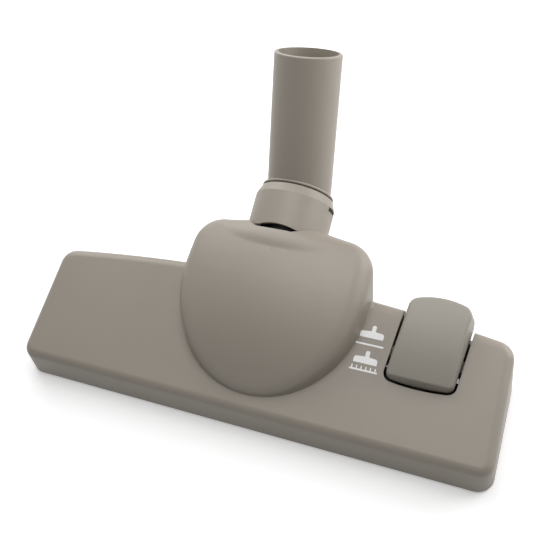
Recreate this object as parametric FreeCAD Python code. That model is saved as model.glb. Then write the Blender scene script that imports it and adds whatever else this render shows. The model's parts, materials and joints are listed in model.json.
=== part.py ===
import FreeCAD, Part
import math
import os

# Floor head of a vacuum cleaner, in millimetres.
# Z = 0 is the floor, X runs along the head, -Y is its front, and the origin lies on the sole behind
# the suction channel.

V = FreeCAD.Vector

# Casing: the long body
head_width = 272.0
head_front_y = -52.0
head_rear_y = 27.5
head_rear_end_y = 17.5
rim_z = 1.2
front_height = 19.9
top_slope = 15.7
wall_lean = 4.0
front_corner = 9.0
rear_corner = 11.5
top_round = 5.5
casing_wall = 2.5

# Casing: the hump over the neck
hump_x = 3.6
hump_half_width = 53.5
hump_tip_y = -42.0
hump_widest_y = 14.0
hump_base_z = 12.0
hump_base_rear_y = 30.0
hump_overhang = 21.0
hump_lean = 4.0
hump_lean_z = 28.0
hump_corner = 17.0
hump_round = 11.0
crown_front_y = -32.0
crown_front_z = 36.5
crown_rear_y = 46.0
crown_rear_z = 66.5
crown_length_radius = 115.0
crown_width_radius = 230.0
crown_reach = 0.78
crown_sweep = 35.0
hump_stock = 24.0

# Neck: a barrel that tilts, a socket and a sleeve
pivot_y = 28.0
pivot_z = 38.7
neck_rest = 23.1
tilt_up = 3.0
tilt_down = 28.0
barrel_radius = 18.0
barrel_wall = 2.0
barrel_half_width = 21.0
barrel_disc = 2.0
trunnion_radius = 5.0
trunnion_length = 6.0
window_start = 106.0
window_end = 254.0
window_half_width = 19.0
lower_duct_radius = 16.0
lower_duct_wall = 2.2
socket_start = 27.0
socket_end = 44.0
socket_radius = 18.8
socket_wall = 2.15
collar_radius = 22.9
collar_mouth_radius = 20.9
collar_slope = 5.2
collar_bore = 19.9
collar_start = 20.3
collar_end = 45.8
collar_arch_half_width = 10.5
collar_arch_depth = 1.3
collar_edge_round = 0.6
collar_rib_start = 7.5
collar_rib_width = 2.5
snap_centre = 39.2
snap_height = 2.2
snap_angle = 34.0
sleeve_relief = 0.8
socket_taper = 2.8
socket_step = 2.0
clip_bite = 0.6
clip_depth = 2.0
clip_tab_angle = 28.0
clip_split = 3.0

# Swivel tube
tube_radius = 18.4
tube_wall = 2.3
tube_length = 75.5
elbow_bend = 36.9
flange_radius = 20.7
flange_height = 2.0
flange_gap = 0.4
flange_round = 0.9
elbow_rise = 2.6
spigot_length = 15.0
spigot_wall = 2.0
wand_depth = 35.0
wand_stop = 1.1
mouth_round = 0.8
swivel_gap = 0.15
spigot_groove = 0.9

# Suction channel and duct
channel_front_y = -32.0
channel_rear_y = -4.0
channel_end_gap = 18.0
channel_height = 8.0
channel_wall = 1.6
throat_front_y = -24.5
throat_rear_y = -5.0
duct_half_width = 20.0
duct_wall = 1.8
duct_floor_z = 18.3
duct_flange = 1.2
duct_flange_side = 3.0
duct_flange_front = 0.7
duct_flange_rear = 0.6
duct_bend_y = 8.5
duct_bend_z = 10.5
duct_bend_follow = 0.7
duct_step_gap = 0.6
hood_low_angle = 228.0
hood_high_angle = 129.0
passage_low_angle = 222.0
passage_high_angle = 137.0
passage_overlap = 1.5
saddle_gap = 0.35
saddle_wall = 1.6
saddle_start = 100.0
saddle_end = 280.0

# Frame and sole
plate_thickness = 0.8
frame_floor = 2.2
frame_lip = 7.0
frame_gap = 0.3
sole_margin = 3.2
sole_rear_y = 11.3
sole_corner = 7.0
tower_wall = 4.2
tower_gap = 1.2
tower_half_depth = 8.0
tower_front_gap = 2.0
tower_rear_gap = 1.3
tower_knee_z = 16.5
tower_rear_reach = 7.0

# Brush carrier and brushes
front_beam_y = -41.0
rear_beam_y = 6.5
beam_width = 7.0
beam_height = 7.0
beam_z = 10.3
beam_end_gap = 8.0
end_bar_width = 8.0
end_bar_height = 3.0
groove_width = 4.0
groove_depth = 3.5
slot_margin = 1.2
beam_gap = 0.5
bristle_bottom = 0.6
tuft_length = 4.2
tuft_width = 2.6
tuft_pitch = 6.5
tuft_end_gap = 19.0
strip_gap = 0.1
strip_sink = 0.4
strip_end = 2.0

# Lift shaft
shaft_y = -29.5
shaft_z = 13.5
shaft_radius = 2.0
lift_arm_end_gap = 36.0
lift_arm_length = 10.0
lift_arm_width = 3.0
lift_pin_radius = 1.5
pin_clearance = 0.4
fork_width = 3.5
fork_foot = 5.0
bearing_width = 3.0
shaft_swing = 19.0
bearing_from_arm = 12.0
bearing_from_link = 8.0
bearing_height = 1.6
bearing_mouth = 1.5
fork_top_wall = 0.9
fork_front_wall = 1.2
fork_side_gap = 0.5
fork_lip = 0.6
running_gap = 0.08
press_gap = 0.03

# Pedal
pedal_axis_y = 2.0
pedal_axis_z = 30.0
pedal_travel = 18.0
pedal_end_gap = 26.5
pedal_width = 37.7
pedal_front_y = -17.6
pedal_bow = 1.6
pedal_turn = 4.7
pedal_corner = 5.0
pedal_gap = 1.4
pedal_wall = 2.0
pedal_front_radius = 19.6
pedal_front_top_z = 35.0
pedal_rear_y = 28.0
pedal_top_end_y = 34.0
pedal_top_end_z = 53.9
pedal_crown = 3.9
pedal_skirt_inset = 1.2
pedal_rear_corner = 5.0
pedal_rear_bow = 1.2
pedal_top_corner = 9.5
pedal_top_bow = 8.5
pedal_top_rear = 5.8
pedal_draft = 8.0
pedal_foot = 14.0
pedal_stock = 20.0
pedal_edge_round = 1.6
pedal_skirt_rear = 8.8
cap_front_drop = 3.0
cap_rear_rise = 4.0
skirt_front_drop = 9.0
hollow_drop = 12.0
pedal_axle_radius = 2.0
pedal_hub_radius = 5.0
pedal_tower_wall = 3.0
pedal_tower_room = 1.0
pedal_tower_front_gap = 0.2
pedal_tower_spread = 3.0
pedal_tower_top = 3.5
pedal_tower_waist_gap = 0.7
hub_end_gap = 0.4
pedal_notch_z = 24.5
link_inset = 17.3
link_width = 3.5
link_wall = 1.2
link_nose = 3.2
link_slot_start = 2.2
web_wall = 2.0
web_front = 3.0
web_rear = 7.0
web_height = 14.0
cam_height = 6.0
cam_front = 4.0
cam_run = 5.0
cam_width = 5.0
cam_from_link = 1.5
leaf_overhang = 0.3
leaf_gap = 0.25
leaf_thickness = 0.5
leaf_width = 3.8

# Wheels
wheel_x = 38.0
wheel_y = 30.0
wheel_radius = 9.0
wheel_width = 9.0
wheel_lift = 0.1
wheel_bore = 1.6
wheel_axle_radius = 1.5
ear_wall = 2.2
ear_round = 2.5
ear_gap = 0.6
well_gap = 0.7
well_top_z = 20.5
wheel_dish = 1.6
wheel_rim = 2.2
wheel_hub = 1.8
wheel_corner = 1.2

# Screws and lint strips
screw_end_gap = 19.5
screw_radius = 1.4
screw_head_radius = 2.7
screw_gap = 0.3
screw_wall_gap = 0.35
screw_thread_gap = 0.05
screw_cross_width = 0.9
screw_cross_reach = 1.9
screw_cross_depth = 1.0
screw_head_height = 2.0
screw_length = 12.0
boss_radius = 3.2
pad_height = 3.0
lint_end_gap = 61.0
lint_length = 40.0
lint_width = 3.4
lint_height = 0.65
lint_gap = 0.2
lint_corner = 0.6

# Sizes that follow
half_width = head_width / 2
channel_half_length = half_width - channel_end_gap
beam_half_length = half_width - beam_end_gap
tuft_count = round(2 * (half_width - tuft_end_gap) / tuft_pitch)
lift_arm_x = half_width - lift_arm_end_gap
lint_x = half_width - lint_end_gap
pedal_right_x = half_width - pedal_end_gap
pedal_left_x = pedal_right_x - pedal_width
link_x = pedal_right_x - link_inset
screw_x = ((hump_half_width + pedal_left_x) / 2, half_width - screw_end_gap)
frame_z = plate_thickness + frame_floor
roof_z = channel_height + channel_wall
lift_ratio = 2 * shaft_swing / pedal_travel
link_span_y = shaft_y - pedal_axis_y
link_span_z = shaft_z - pedal_axis_z
link_span = math.hypot(link_span_y, link_span_z)
shaft_arm_length = link_span / (1 + lift_ratio)
link_direction = math.degrees(math.atan2(link_span_z, link_span_y))
neck_axis = V(0, math.cos(math.radians(neck_rest)), math.sin(math.radians(neck_rest)))
pivot = V(0, pivot_y, pivot_z)
far = 200.0
over = 1.0
tiny = 0.001


def tan(angle):
    return math.tan(math.radians(angle))


def sin(angle):
    return math.sin(math.radians(angle))


def cos(angle):
    return math.cos(math.radians(angle))


# Helpers for shapes

def block(x, y, z):
    """A box from its low and high value along each axis."""
    return Part.makeBox(x[1] - x[0], y[1] - y[0], z[1] - z[0], V(x[0], y[0], z[0]))


def rod_x(radius, x, y, z):
    return Part.makeCylinder(radius, x[1] - x[0], V(x[0], y, z), V(1, 0, 0))


def rod_z(radius, x, y, z):
    return Part.makeCylinder(radius, z[1] - z[0], V(x, y, z[0]))


def polygon(points):
    return Part.Face(Part.makePolygon(points + points[:1]))


def side_plate(points, x):
    """A plate between two x values whose outline is given as (y, z) points."""
    face = polygon([V(x[0], y, z) for y, z in points])
    return face.extrude(V(x[1] - x[0], 0, 0))


def line(a, b):
    return Part.LineSegment(a, b).toShape()


def arc(a, b, c):
    return Part.Arc(a, b, c).toShape()


def mirrored(shape):
    return shape.mirror(V(0, 0, 0), V(1, 0, 0))


def both_sides(shape):
    return [shape, mirrored(shape)]


def around(y, z, radius, angle):
    """The (y, z) point at a radius and an angle from +Y about a centre."""
    return (y + radius * cos(angle), z + radius * sin(angle))


def along_neck(distance, up=0.0, x=0.0):
    """A point at a distance from the pivot along the neck, raised square to it."""
    radial = V(0, -neck_axis.z, neck_axis.y)
    return pivot + neck_axis * distance + radial * up + V(x, 0, 0)


def neck_rod(radius, start, end):
    return Part.makeCylinder(radius, end - start, along_neck(start), neck_axis)


def neck_cone(low_radius, high_radius, start, end):
    return Part.makeCone(low_radius, high_radius, end - start, along_neck(start), neck_axis)


def vertical_edges(shape, y):
    found = []
    for edge in shape.Edges:
        ends = [v.Point for v in edge.Vertexes]
        if len(ends) == 2 and abs(ends[0].x - ends[1].x) + abs(ends[0].y - ends[1].y) < tiny:
            if abs(ends[0].y - y) < tiny:
                found.append(edge)
    return found


def round_edge(shape, radius, distance):
    """The full circle of a radius at a distance along the neck."""
    centre = along_neck(distance)
    circles = [edge for edge in shape.Edges if edge.Curve.TypeId == "Part::GeomCircle"]
    near = [edge for edge in circles if (edge.Curve.Center - centre).Length < tiny]
    return [edge for edge in near if abs(edge.Curve.Radius - radius) < tiny][0]


def face_at(shape, z):
    return [f for f in shape.Faces if abs(f.CenterOfMass.z - z) < tiny][0]


def inset_wire(wire, inset):
    if inset == 0:
        return wire
    moved = wire.makeOffset2D(-inset)
    return moved.Wires[0]


# Casing

def head_plan(inset, z):
    """The outline of the long body seen from above, moved inwards by an inset."""
    left_rear = V(-half_width, head_rear_end_y, z)
    right_rear = V(half_width, head_rear_end_y, z)
    left_front = V(-half_width, head_front_y, z)
    right_front = V(half_width, head_front_y, z)
    edges = [
        line(left_front, right_front),
        line(right_front, right_rear),
        arc(right_rear, V(0, head_rear_y, z), left_rear),
        line(left_rear, left_front),
    ]
    body = Part.Face(Part.Wire(edges)).extrude(V(0, 0, rim_z))
    body = body.makeFillet(front_corner, vertical_edges(body, head_front_y))
    body = body.makeFillet(rear_corner, vertical_edges(body, head_rear_end_y))
    return inset_wire(face_at(body, z).OuterWire, inset)


def top_z(y):
    """The height of the long body's top at a given y."""
    return front_height + tan(top_slope) * (y - head_front_y)


def head_block(inset):
    """The long body as a solid, moved inwards by an inset."""
    high_z = crown_rear_z
    lean = tan(wall_lean) * (high_z - rim_z)
    body = Part.makeLoft([head_plan(inset, rim_z), head_plan(inset + lean, high_z)], True, True)
    drop = inset / cos(top_slope)
    outline = [(y, top_z(y) - drop) for y in (head_front_y - rear_corner, head_rear_y + rear_corner)]
    outline += [(outline[1][0], far), (outline[0][0], far)]
    body = body.cut(side_plate(outline, (-far, far)))
    top = [f for f in body.Faces if abs(f.normalAt(0, 0).z - cos(top_slope)) < tiny ** 2][0]
    return body.makeFillet(top_round - inset, top.OuterWire.Edges)


def hump_plan(z, inset):
    """The D-shaped outline of the hump at a height: half an ellipse in front, round corners behind."""
    lean = inset + tan(hump_lean) * (z - hump_lean_z)
    half = hump_half_width - lean
    tip = hump_tip_y + lean
    rear = hump_base_rear_y - inset / cos(hump_overhang) + tan(hump_overhang) * (z - hump_base_z)
    corner = hump_corner - inset
    centre = V(0, hump_widest_y, z)
    side_point = V(half, hump_widest_y, z)
    front_point = V(0, tip, z)
    if hump_widest_y - tip > half:
        ellipse = Part.Ellipse(front_point, side_point, centre)
    else:
        ellipse = Part.Ellipse(side_point, front_point, centre)
    first = ellipse.parameter(side_point)
    last = ellipse.parameter(V(-half, hump_widest_y, z))
    low, high = min(first, last), max(first, last)
    if not low < ellipse.parameter(front_point) < high:
        low, high = high, low + 2 * math.pi
    nose = Part.Arc(ellipse, low, high).toShape()
    bulge = corner * (1 - cos(45))
    edges = [nose]
    for side in (-1, 1):
        outer = side * half
        edges.append(line(V(outer, hump_widest_y, z), V(outer, rear - corner, z)))
        edges.append(arc(V(outer, rear - corner, z), V(outer - side * bulge, rear - bulge, z),
                         V(outer - side * corner, rear, z)))
    edges.append(line(V(corner - half, rear, z), V(half - corner, rear, z)))
    plan = Part.Wire(Part.__sortEdges__(edges))
    plan.translate(V(hump_x, 0, 0))
    return plan


def crown_block(inset):
    """A large solid whose top is the crown: an arc from front to rear, turned about an axis below."""
    chord = V(0, crown_rear_y - crown_front_y, crown_rear_z - crown_front_z)
    middle = V(0, crown_rear_y + crown_front_y, crown_rear_z + crown_front_z) * 0.5
    forward = V(chord).normalize()
    up = V(0, -forward.z, forward.y)
    depth = math.sqrt(crown_length_radius ** 2 - chord.Length ** 2 / 4)
    centre = middle - up * depth
    radius = crown_length_radius - inset
    reach = chord.Length * crown_reach
    rise = math.sqrt(radius ** 2 - reach ** 2)
    axis_point = centre + up * (crown_length_radius - crown_width_radius)
    low_front = axis_point - forward * reach
    low_rear = axis_point + forward * reach
    top_front = centre + up * rise - forward * reach
    top_rear = centre + up * rise + forward * reach
    edges = [
        arc(top_front, centre + up * radius, top_rear),
        line(top_rear, low_rear),
        line(low_rear, low_front),
        line(low_front, top_front),
    ]
    face = Part.Face(Part.Wire(edges))
    face.rotate(axis_point, forward, -crown_sweep)
    crown = face.revolve(axis_point, forward, 2 * crown_sweep)
    crown.translate(V(hump_x, 0, 0))
    return crown


def hump_block(inset):
    """The hump as a solid, moved inwards by an inset, with its crown edge rounded."""
    low = hump_plan(hump_base_z + inset, inset)
    high = hump_plan(crown_rear_z + hump_stock, inset)
    crown = crown_block(inset)
    body = Part.makeLoft([low, high], True, True).common(crown)
    skin = max(crown.Faces, key=lambda f: f.Area if f.Surface.TypeId != "Part::GeomPlane" else 0)
    rim = []
    for edge in body.Edges:
        middle = edge.valueAt((edge.FirstParameter + edge.LastParameter) / 2)
        points = [middle, edge.Vertexes[0].Point]
        if all(skin.distToShape(Part.Vertex(p))[0] < tiny for p in points):
            rim.append(edge)
    return body.makeFillet(hump_round - inset, rim)


def neck_opening():
    """The space that the neck sweeps as it tilts: its sleeve, its duct and its barrel."""
    low, high = neck_rest - tilt_down, neck_rest + tilt_up
    cutters = []
    for radius, start in ((collar_radius, collar_start - sleeve_relief), (lower_duct_radius, 0)):
        radius += sleeve_relief
        for turn in (tilt_up, -tilt_down):
            rod = neck_rod(radius, start, far)
            rod.rotate(pivot, V(1, 0, 0), turn)
            cutters.append(rod)
        wedge = [around(pivot_y, pivot_z, far, low), around(pivot_y, pivot_z, far, high)]
        if start:
            wedge += [around(pivot_y, pivot_z, start, high), around(pivot_y, pivot_z, start, low)]
        else:
            wedge.append((pivot_y, pivot_z))
        cutters.append(side_plate(wedge, (-radius, radius)))
    half = collar_radius + sleeve_relief
    barrel = barrel_radius + saddle_gap + saddle_wall + running_gap
    cutters.append(rod_x(barrel, (-half, half), pivot_y, pivot_z))
    return cutters


def pedal_outline(inset, z, rear, rear_corner_radius, rear_bow):
    """The outline of the pedal seen from above, moved inwards by an inset: a bowed front and rear."""
    lean = tan(pedal_turn)

    def corner(x, y):
        return V(x + lean * (y - pedal_front_y), y, z)

    middle_x = (pedal_left_x + pedal_right_x) / 2
    left_front = corner(pedal_left_x, pedal_front_y)
    right_front = corner(pedal_right_x, pedal_front_y)
    left_rear = corner(pedal_left_x, rear - rear_bow)
    right_rear = corner(pedal_right_x, rear - rear_bow)
    edges = [
        arc(left_front, V(middle_x, pedal_front_y - pedal_bow, z), right_front),
        line(right_front, right_rear),
        arc(right_rear, corner(middle_x, rear), left_rear),
        line(left_rear, left_front),
    ]
    body = Part.Face(Part.Wire(edges)).extrude(V(0, 0, over))
    body = body.makeFillet(pedal_corner, vertical_edges(body, pedal_front_y))
    body = body.makeFillet(rear_corner_radius, vertical_edges(body, rear - rear_bow))
    return inset_wire(face_at(body, z).OuterWire, inset)


def pedal_slot(z):
    """The pedal's slot as a prism from z to far above, open to the rear."""
    rear = head_rear_y + 3 * rear_corner
    return Part.Face(pedal_outline(0, z, rear, pedal_rear_corner, pedal_rear_bow)).extrude(V(0, 0, far))


def pedal_form(inset, rear):
    """The pedal's flanks: upright in the slot, then drawn in and more rounded to the rear above it."""
    level = top_z(pedal_front_y)
    inset += pedal_gap
    outlines = [
        pedal_outline(inset, level - pedal_foot, rear, pedal_rear_corner + inset, pedal_rear_bow),
        pedal_outline(inset, level, rear, pedal_rear_corner + inset, pedal_rear_bow),
        pedal_outline(inset + tan(pedal_draft) * pedal_stock, level + pedal_stock, rear + pedal_top_rear,
                      pedal_top_corner + inset, pedal_top_bow),
    ]
    body = Part.makeLoft(outlines, True, True)
    body.rotate(V(0, pedal_front_y, level), V(1, 0, 0), top_slope)
    return body


def wheel_half_span():
    return wheel_width / 2 + ear_gap + ear_wall


def wheel_well():
    half = wheel_half_span() + well_gap
    front = wheel_y - wheel_radius - 2 * well_gap
    return block((wheel_x - half, wheel_x + half), (front, crown_rear_y), (-over, well_top_z))


def screw_places():
    """Centres of the screws: behind the rear brush, just inside the rear wall."""
    places = []
    for x in screw_x:
        bow = (head_rear_y - head_rear_end_y) * (x / half_width) ** 2
        y = head_rear_y - bow - casing_wall - frame_gap - boss_radius - screw_wall_gap
        places.append((x, y))
        places.append((-x, y))
    return places


def screw_bosses(inside):
    """Round posts that hang from the casing's inside, each with a blind hole."""
    posts = []
    for x, y in screw_places():
        low = frame_z + pad_height
        post = rod_z(boss_radius, x, y, (low, far)).common(inside)
        hole = rod_z(screw_radius, x, y, (low - over, frame_z + screw_length + over))
        posts.append(post.cut(hole))
    return posts


def trunnion_x():
    """The low and high x of the plates that hold the trunnions."""
    low = barrel_half_width + barrel_disc + tower_gap
    return (low, low + tower_wall)


def trunnion_caps(inside):
    """Plates under the crown that close over the trunnions."""
    low, high = trunnion_x()
    y = (pivot_y - tower_half_depth, pivot_y + tower_half_depth)
    plate = block((low, high), y, (pivot_z + frame_gap, far)).common(inside)
    hole = rod_x(trunnion_radius + running_gap, (low - over, high + over), pivot_y, pivot_z)
    plate = plate.cut(hole)
    return both_sides(plate)


def upper_housing():
    outside = head_block(0).fuse(hump_block(0))
    inside = head_block(casing_wall).fuse(hump_block(casing_wall))
    shell = outside.cut(inside)
    slot = pedal_slot(pedal_notch_z)
    shell = shell.cut([slot, wheel_well(), mirrored(wheel_well())] + neck_opening())
    shell = shell.fuse(screw_bosses(inside) + trunnion_caps(inside))
    shell = shell.cut(neck_opening())
    return shell.removeSplitter()


# Frame

def frame_outline(inset, z):
    return Part.Face(head_plan(casing_wall + frame_gap + inset, z))


def brush_slot(y, low, high):
    """The slot that a row of tufts comes down through."""
    half = tuft_count * tuft_pitch / 2 + slot_margin
    depth = tuft_width / 2 + slot_margin
    return block((-half, half), (y - depth, y + depth), (low, high))


def frame_tray():
    floor = frame_outline(0, rim_z).extrude(V(0, 0, frame_floor))
    floor.translate(V(0, 0, plate_thickness - rim_z))
    lip_inset = tan(wall_lean) * frame_lip
    lip = frame_outline(lip_inset, rim_z).extrude(V(0, 0, frame_lip))
    lip = lip.cut(frame_outline(lip_inset + channel_wall, rim_z).extrude(V(0, 0, frame_lip)))
    return [floor, lip]


def channel_block(grow, low, high):
    x = channel_half_length + grow
    return block((-x, x), (channel_front_y - grow, channel_rear_y + grow), (low, high))


def throat(low, high):
    x = (-duct_half_width, duct_half_width)
    return block(x, (throat_front_y, throat_rear_y), (low, high))


def neck_tower():
    """A post with a half-round seat for a trunnion, kept clear of the sloping rear wall."""
    x = trunnion_x()
    front = rear_beam_y + beam_width / 2 + tower_front_gap
    rear = head_rear_y - casing_wall - frame_gap - tower_rear_gap
    outline = [(front, plate_thickness), (rear, plate_thickness), (rear, tower_knee_z),
               (pivot_y + tower_rear_reach, pivot_z), (pivot_y - tower_half_depth, pivot_z)]
    post = side_plate(outline, x)
    seat = rod_x(trunnion_radius + running_gap, (x[0] - over, x[1] + over), pivot_y, pivot_z)
    return post.cut(seat)


def pedal_towers():
    """Two posts that carry the pedal's axle and the ends of the leaf spring."""
    front = channel_rear_y + channel_wall + pedal_tower_front_gap
    rear = rear_beam_y - beam_width / 2 - beam_gap
    waist = beam_z + beam_height + pedal_tower_waist_gap
    top = pedal_axis_z + pedal_tower_top
    spread = pedal_axle_radius + pedal_tower_spread
    outline = [(front, plate_thickness), (rear, plate_thickness), (rear, waist),
               (pedal_axis_y + spread, waist + spread), (pedal_axis_y + spread, pedal_axis_z),
               (pedal_axis_y + pedal_axle_radius, top), (pedal_axis_y - pedal_axle_radius, top),
               (pedal_axis_y - spread, pedal_axis_z), (front, waist)]
    posts = []
    for low in pedal_tower_x():
        x = (low, low + pedal_tower_wall)
        bore = rod_x(pedal_axle_radius + press_gap, (x[0] - over, x[1] + over), pedal_axis_y, pedal_axis_z)
        posts.append(side_plate(outline, x).cut([bore, leaf_block(strip_gap)]))
    return posts


def pedal_tower_x():
    """The low x of each of the two posts beside the pedal's hub."""
    inner = pedal_wall + pedal_gap + pedal_skirt_inset + pedal_tower_room
    shift = tan(pedal_turn) * (pedal_axis_y - pedal_front_y)
    return (pedal_left_x + shift + inner, pedal_right_x + shift - inner - pedal_tower_wall)


def shaft_bearings():
    """Snap bearings on the channel's roof, open at the top."""
    posts = []
    wrap = shaft_radius + channel_wall
    places = (bearing_from_arm - lift_arm_x, -lift_arm_x / 2, lift_arm_x / 2, link_x - bearing_from_link)
    for x in places:
        place = (x - bearing_width / 2, x + bearing_width / 2)
        post = block(place, (shaft_y - wrap, shaft_y + wrap), (roof_z - over, shaft_z + bearing_height))
        wide = (place[0] - over, place[1] + over)
        hole = rod_x(shaft_radius + running_gap, wide, shaft_y, shaft_z)
        gap = block(wide, (shaft_y - bearing_mouth, shaft_y + bearing_mouth), (shaft_z, far))
        posts.append(post.cut([hole, gap]))
    return posts


def wheel_ears():
    """Four plates behind the frame that carry the wheel axles."""
    z = wheel_radius + wheel_lift
    head = wheel_axle_radius + ear_round
    front = wheel_y - wheel_radius - 4 * well_gap
    outline = [(front, plate_thickness), (wheel_y, z - head), (wheel_y + head, z),
               (wheel_y, z + head), (front, frame_z + frame_lip / 2)]
    ears = []
    for low in (wheel_x - wheel_half_span(), wheel_x + wheel_half_span() - ear_wall):
        x = (low, low + ear_wall)
        ear = side_plate(outline, x).fuse(rod_x(head, x, wheel_y, z))
        ear = ear.cut(rod_x(wheel_axle_radius + press_gap, (x[0] - over, x[1] + over), wheel_y, z))
        ears += both_sides(ear)
    return ears


def wheel_pocket():
    half = wheel_half_span() - ear_wall
    front = wheel_y - wheel_radius - 2 * well_gap
    return block((wheel_x - half, wheel_x + half), (front, crown_rear_y), (-over, well_top_z))


def screw_pads():
    return [rod_z(boss_radius, x, y, (plate_thickness, frame_z + pad_height)) for x, y in screw_places()]


def screw_holes():
    holes = []
    for x, y in screw_places():
        holes.append(rod_z(screw_radius + screw_gap, x, y, (-over, frame_z + pad_height + over)))
        holes.append(rod_z(screw_head_radius + screw_gap, x, y, (-over, frame_z)))
        holes.append(rod_z(boss_radius + frame_gap, x, y, (frame_z + pad_height, roof_z)))
    return holes


def base_frame():
    floor, lip = frame_tray()
    solid = [floor, lip, channel_block(channel_wall, plate_thickness, roof_z)]
    solid += both_sides(neck_tower()) + pedal_towers() + shaft_bearings() + wheel_ears() + screw_pads()
    body = solid[0].fuse(solid[1:])
    holes = [channel_block(0, -over, channel_height), throat(channel_height - over, roof_z + over)]
    holes += [brush_slot(y, -over, frame_z + over) for y in (front_beam_y, rear_beam_y)]
    holes += [wheel_pocket(), mirrored(wheel_pocket())] + screw_holes()
    return body.cut(holes).removeSplitter()


def sole_outline():
    front = head_front_y + casing_wall + frame_gap + sole_margin / 2
    half = half_width - casing_wall - frame_gap - sole_margin / 2
    plate = block((-half, half), (front, sole_rear_y), (0, plate_thickness))
    upright = vertical_edges(plate, front) + vertical_edges(plate, sole_rear_y)
    return plate.makeFillet(sole_corner, upright)


def lint_places():
    reach = tuft_width / 2 + slot_margin
    front = (front_beam_y + reach + channel_front_y) / 2
    rear = (rear_beam_y - reach + channel_rear_y) / 2
    return {
        "front_left": (-lint_x, front),
        "front_right": (lint_x, front),
        "rear_left": (-lint_x, rear),
        "rear_right": (lint_x, rear),
    }


def lint_block(place, grow):
    x, y = place
    length = lint_length / 2 + grow
    width = lint_width / 2 + grow
    low = plate_thickness - lint_height - grow
    pad = block((x - length, x + length), (y - width, y + width), (low, plate_thickness))
    upright = vertical_edges(pad, y - width) + vertical_edges(pad, y + width)
    return pad.makeFillet(width * lint_corner, upright)


def sole_plate():
    holes = [channel_block(0, -over, frame_z)]
    holes += [brush_slot(y, -over, frame_z) for y in (front_beam_y, rear_beam_y)]
    lint_room = lint_gap + plate_thickness - lint_height
    holes += [lint_block(place, lint_room) for place in lint_places().values()]
    holes += [rod_z(screw_head_radius + screw_gap, x, y, (-over, frame_z)) for x, y in screw_places()]
    return sole_outline().cut(holes)


def seat_arc(radius, start, end):
    points = []
    for angle in (start, (start + end) / 2, end):
        y, z = around(pivot_y, pivot_z, radius, angle)
        points.append(V(0, y, z))
    return arc(points[0], points[1], points[2])


def duct_profile(inset, front_y, rear_y, low_z, seat_radius, seat_low, seat_high):
    """The side outline of the duct: a curved front and top, a stepped floor and a round rear."""
    top_y, top_height = around(pivot_y, pivot_z, seat_radius, seat_high)
    low_y, low_height = around(pivot_y, pivot_z, seat_radius, seat_low)
    bend_y = (front_y + top_y) / 2 - duct_bend_y + inset * duct_bend_follow
    bend_z = (low_z + top_height) / 2 + duct_bend_z - inset * duct_bend_follow
    beam_front = rear_beam_y - beam_width / 2 - duct_step_gap + inset * duct_step_gap
    beam_rear = rear_beam_y + beam_width / 2 + 2 * duct_step_gap
    floor = duct_floor_z + inset
    start = V(0, front_y, low_z)
    edges = [
        arc(start, V(0, bend_y, bend_z), V(0, top_y, top_height)),
        seat_arc(seat_radius, seat_high, seat_low),
    ]
    corners = [V(0, low_y, low_height), V(0, beam_rear, floor), V(0, beam_front, floor),
               V(0, rear_y, low_z), start]
    edges += [line(a, b) for a, b in zip(corners, corners[1:])]
    return Part.Face(Part.Wire(edges))


def duct_solid(half, *profile):
    """A duct profile drawn out to both sides."""
    solid = duct_profile(*profile).extrude(V(2 * half, 0, 0))
    solid.translate(V(-half, 0, 0))
    return solid


def duct_saddle(seat, half):
    """The round seat behind the duct that closes on the neck's barrel."""
    ring = rod_x(seat + saddle_wall, (-half, half), pivot_y, pivot_z)
    ring = ring.cut(rod_x(seat, (-far, far), pivot_y, pivot_z))
    high_y, high_z = around(pivot_y, pivot_z, 2 * seat, saddle_start)
    low_y, low_z = around(pivot_y, pivot_z, 2 * seat, saddle_end)
    front_y = pivot_y - 2 * seat
    mouth = [(pivot_y, pivot_z), (high_y, high_z), (front_y, high_z), (front_y, low_z), (low_y, low_z)]
    return ring.common(side_plate(mouth, (-half, half)))


def duct_cover():
    """Cover of the air duct: a flange on the channel's roof, a curved hood and the neck's saddle."""
    seat = barrel_radius + saddle_gap
    half = duct_half_width + duct_wall
    front = throat_front_y - duct_wall
    rear = throat_rear_y + duct_wall
    hood = duct_solid(half, 0, front, rear, roof_z, seat, hood_low_angle, hood_high_angle)
    passage = duct_solid(duct_half_width, duct_wall, throat_front_y, throat_rear_y, channel_height,
                         seat - passage_overlap, passage_low_angle, passage_high_angle)
    flange = block((-half - duct_flange_side, half + duct_flange_side),
                   (front - duct_flange_front, rear + duct_flange_rear), (roof_z, roof_z + duct_flange))
    cover = hood.fuse([duct_saddle(seat, half), flange])
    return cover.cut([passage, rod_x(seat, (-far, far), pivot_y, pivot_z)]).removeSplitter()


# Neck

def window_block():
    """The wedge of the barrel's wall that is open to the duct."""
    reach = 2 * barrel_radius
    points = [(pivot_y, pivot_z)]
    steps = 4
    for step in range(steps + 1):
        angle = neck_rest + window_start + (window_end - window_start) * step / steps
        points.append(around(pivot_y, pivot_z, reach, angle))
    return side_plate(points, (-window_half_width, window_half_width))


def side_wedges(angle, low, high):
    """Two wedges about the neck's axis, left and right, between two distances along it."""
    reach = 3 * collar_radius
    spread = reach * tan(angle / 2)
    corners = [along_neck(low), along_neck(low, spread, reach), along_neck(low, -spread, reach)]
    return both_sides(polygon(corners).extrude(neck_axis * (high - low)))


def snap_windows(inner, outer):
    """Two slits through a sleeve, left and right."""
    low = snap_centre - snap_height / 2 - strip_gap
    high = snap_centre + snap_height / 2 + strip_gap
    ring = neck_rod(outer, low, high).cut(neck_rod(inner, low - over, high + over))
    return [ring.common(wedge) for wedge in side_wedges(snap_angle, low - over, high + over)]


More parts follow.
